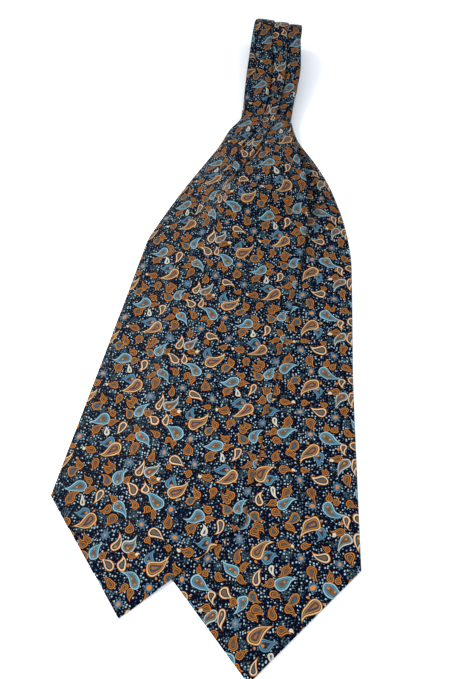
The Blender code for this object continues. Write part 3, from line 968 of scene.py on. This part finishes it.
def printed_silk():
    """Soft satin silk with a small paisley print, drawn on the cloth's own grain."""
    silk = Print("printed_silk")
    grain = Signal(silk, silk.node("UVMap", {"uv_map": "print"}).outputs[0])
    place = silk.scaled(grain, 1.0 / UV_SCALE)

    # A slight wander keeps the drawn lines from looking ruled
    wander = silk.node("TexNoise", {"noise_dimensions": "2D"},
                       {"Vector": place, "Scale": 0.11, "Detail": 0.0})
    shift = silk.vector("SUBTRACT", Signal(silk, wander.outputs["Color"]), (0.5, 0.5, 0.5))
    place = silk.vector("MULTIPLY_ADD", shift, (WANDER, WANDER, 0.0), place)

    # Each kind of drop is gathered before it is coloured
    depths = {kind: silk.largest([silk.drop(place, *shape)
                                  for own_kind, *shape in DROPS if own_kind == kind])
              for kind in KINDS}
    petals = silk.largest([silk.flower(place, x, y, radius) for x, y, radius, _ in FLOWERS])
    eyes = silk.discs(place, [(x, y, eye) for x, y, _, eye in FLOWERS])
    spots, sprigs = silk.discs(place, SPOTS), silk.discs(place, SPRIGS)
    inside = silk.math("MAXIMUM", silk.largest(list(depths.values())), petals)

    # The ground: navy, with pale dots that keep clear of the drops
    cells = silk.node("TexVoronoi", {"voronoi_dimensions": "2D", "feature": "F1"},
                      {"Vector": place, "Scale": DOT_SCALE, "Randomness": 0.8})
    dot = DOT_RADIUS - Signal(silk, cells.outputs["Distance"]) * (1.0 / DOT_SCALE)
    tone = Signal(silk, silk.node("SeparateColor", None,
                                  {0: Signal(silk, cells.outputs["Color"])}).outputs[0])
    dot = dot - tone * 0.35
    clear = silk.math("MULTIPLY_ADD", inside, -3.0, -1.2, clamp=True)
    shown = silk.math("MULTIPLY_ADD", dot, 7.0, 0.4, clamp=True) * clear
    dots = silk.ramp(tone, [(0.0, ink(186, 214, 222)), (0.28, ink(118, 148, 166)),
                            (0.55, ink(96, 112, 104)), (0.75, ink(52, 84, 118)),
                            (0.95, ink(140, 168, 182))], "CONSTANT")
    colour = silk.blend(shown, (*NAVY, 1.0), dots)
    fine = silk.node("TexVoronoi", {"voronoi_dimensions": "2D", "feature": "F1"},
                     {"Vector": place, "Scale": FLECK_SCALE, "Randomness": 1.0})
    fleck = Signal(silk, fine.outputs["Distance"])
    sprig = (silk.math("MULTIPLY_ADD", sprigs, 1.5, 0.2, clamp=True) * clear
             * silk.math("MULTIPLY_ADD", fleck, -4.0, 1.9, clamp=True))
    colour = silk.blend(sprig * 0.6, colour, (*ink(84, 116, 126), 1.0))

    # The flowers, the drops from the ones tucked behind to the ones in front, the spots
    colour = silk.over(colour, petals, ((0.0, ink(116, 156, 178)), (0.6, ink(30, 62, 92)),
                                        (1.4, ink(104, 140, 160))))
    colour = silk.over(colour, eyes, ((0.0, ORANGE), (0.7, ink(220, 140, 60))))
    specks = silk.math("MULTIPLY_ADD", fleck, -6.0, 2.2, clamp=True)
    for kind, stops in KINDS.items():
        colour = silk.over(colour, depths[kind], stops)
    core = silk.math("MULTIPLY_ADD", inside, 2.0, -3.4, clamp=True) * specks
    colour = silk.blend(core * 0.5, colour, (*ink(160, 96, 36), 1.0))
    colour = silk.over(colour, spots, ((0.0, ORANGE), (0.6, ink(196, 96, 36))))

    # The twill and small unevenness of the dye
    mottle = silk.node("TexNoise", {"noise_dimensions": "2D"},
                       {"Vector": place, "Scale": 0.035, "Detail": 3.0})
    worn = silk.math("MULTIPLY_ADD", Signal(silk, mottle.outputs[0]), DYE_UNEVENNESS, DYE_LEVEL)
    colour = silk.scaled(colour, worn)

    parts = silk.node("SeparateXYZ", None, {0: place}).outputs
    diagonal = Signal(silk, parts[0]) + Signal(silk, parts[1])
    rib = silk.math("SINE", diagonal * (2.0 * pi / RIB_SPACING))
    creping = silk.node("TexNoise", {"noise_dimensions": "2D"},
                        {"Vector": place, "Scale": 0.16, "Detail": 2.0})
    relief_of_weave = rib * 0.012 + Signal(silk, creping.outputs[0]) * 0.35
    bump = silk.node("Bump", None, {"Strength": 0.6, "Distance": 0.001,
                                    "Height": relief_of_weave})
    roughness = silk.math("MULTIPLY_ADD", Signal(silk, mottle.outputs[0]), 0.12, 0.40)

    shader = silk.node("BsdfPrincipled", None, {
        "Base Color": colour, "Roughness": roughness,
        "Normal": Signal(silk, bump.outputs[0]),
    })
    shader.inputs["Specular IOR Level"].default_value = 0.03
    output = silk.node("OutputMaterial")
    silk.tree.links.new(shader.outputs[0], output.inputs[0])
    return silk.material


# The studio: the floor, the room's even light, and two like lamps
FLOOR_COLOUR = (0.97, 0.97, 0.97, 1.0)
ROOM_COLOUR = (0.93, 0.98, 1.06, 1.0)
ROOM_STRENGTH = 1.15
LAMP_SIZE = 0.35
LAMP_POWER = 0.58
LAMP_SPREAD = radians(26.0)
LAMP_COLOUR = (1.0, 0.97, 0.91)

# The camera: its tilt from straight down, its distance in metres, the point in plan that
# it looks at, and its focal length and picture height in pixels
CAMERA_TILT = radians(27.0)
CAMERA_DISTANCE = 0.48164
CAMERA_AIM = (0.0, 245.9)
FOCAL_PIXELS = 581.78
PICTURE_HEIGHT = 679.0
SENSOR = 36.0


def plain_floor():
    """A wide pale floor."""
    bpy.ops.object.select_all(action="DESELECT")
    bpy.ops.mesh.primitive_plane_add(size=8.0, location=(0.0, 0.0, -0.0002))
    floor = bpy.context.object
    floor.name = "floor"
    paint = Recipe("pale_floor")
    shader = paint.node("BsdfPrincipled", None, {"Base Color": FLOOR_COLOUR, "Roughness": 0.9})
    output = paint.node("OutputMaterial")
    paint.tree.links.new(shader.outputs[0], output.inputs[0])
    floor.data.materials.append(paint.material)
    return floor


def soft_lamp(name, place, aim):
    """A square lamp with a narrow, slightly warm beam, aimed at a point."""
    lamp = bpy.data.lights.new(name, "AREA")
    lamp.shape = "SQUARE"
    lamp.size = LAMP_SIZE
    lamp.energy = LAMP_POWER
    lamp.spread = LAMP_SPREAD
    lamp.color = LAMP_COLOUR
    item = bpy.data.objects.new(name, lamp)
    item.location = place
    item.rotation_euler = (Vector(aim) - Vector(place)).to_track_quat("-Z", "Y").to_euler()
    bpy.context.scene.collection.objects.link(item)


def studio():
    """Two soft lamps from the left, an even room, and the camera."""
    world = bpy.data.worlds.new("studio")
    world.use_nodes = True
    room = world.node_tree.nodes["Background"]
    room.inputs["Color"].default_value = ROOM_COLOUR
    room.inputs["Strength"].default_value = ROOM_STRENGTH
    bpy.context.scene.world = world
    soft_lamp("upper_key", (-0.89, 0.74, 1.21), (0.0, -0.06, 0.0))
    soft_lamp("lower_key", (-0.92, 0.50, 1.21), (-0.03, -0.30, 0.0))
    bpy.context.scene.view_settings.view_transform = "Standard"

    aim_x, aim_y = CAMERA_AIM
    aim = Vector((aim_x - FOOTPRINT[0], aim_y - FOOTPRINT[1], 0.0)) * MM
    forward = Vector((0.0, sin(CAMERA_TILT), -cos(CAMERA_TILT)))
    lens = bpy.data.cameras.new("camera")
    lens.sensor_width = SENSOR
    lens.lens = FOCAL_PIXELS / PICTURE_HEIGHT * SENSOR
    camera = bpy.data.objects.new("camera", lens)
    camera.matrix_world = (Matrix.Translation(aim - forward * CAMERA_DISTANCE)
                           @ Matrix.Rotation(CAMERA_TILT, 4, "X"))
    bpy.context.scene.collection.objects.link(camera)
    bpy.context.scene.camera = camera


def footprint():
    """The frame's origin in plan: what the part shifted the cravat by.

    The upper blade's left corner is the cravat's farthest left, and the under blade's
    point is its nearest, so both are known in plan and in the frame.
    """
    corner = UPPER.plan(np.array(UPPER.column_length(-1.0)), np.array(-1.0))
    left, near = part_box("blade_upper")[0][0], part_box("blade_under")[0][1]
    return corner[0] - left / MM, UNDER_TIP[1] - near / MM


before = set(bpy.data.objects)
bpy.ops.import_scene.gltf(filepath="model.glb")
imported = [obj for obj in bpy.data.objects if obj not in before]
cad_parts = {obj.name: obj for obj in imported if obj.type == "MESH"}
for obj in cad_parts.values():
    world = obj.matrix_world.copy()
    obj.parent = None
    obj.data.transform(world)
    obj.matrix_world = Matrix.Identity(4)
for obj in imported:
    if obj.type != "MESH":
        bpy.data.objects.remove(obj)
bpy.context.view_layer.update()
FOOTPRINT = footprint()

silk = printed_silk()
upper = build_upper_half()
under = build_under_half()
for sheet in (upper, under):
    sheet.data.materials.append(silk)
    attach(sheet, "root")
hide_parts("blade_upper", "neckband")
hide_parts("blade_under", "neckband")
plain_floor()
studio()
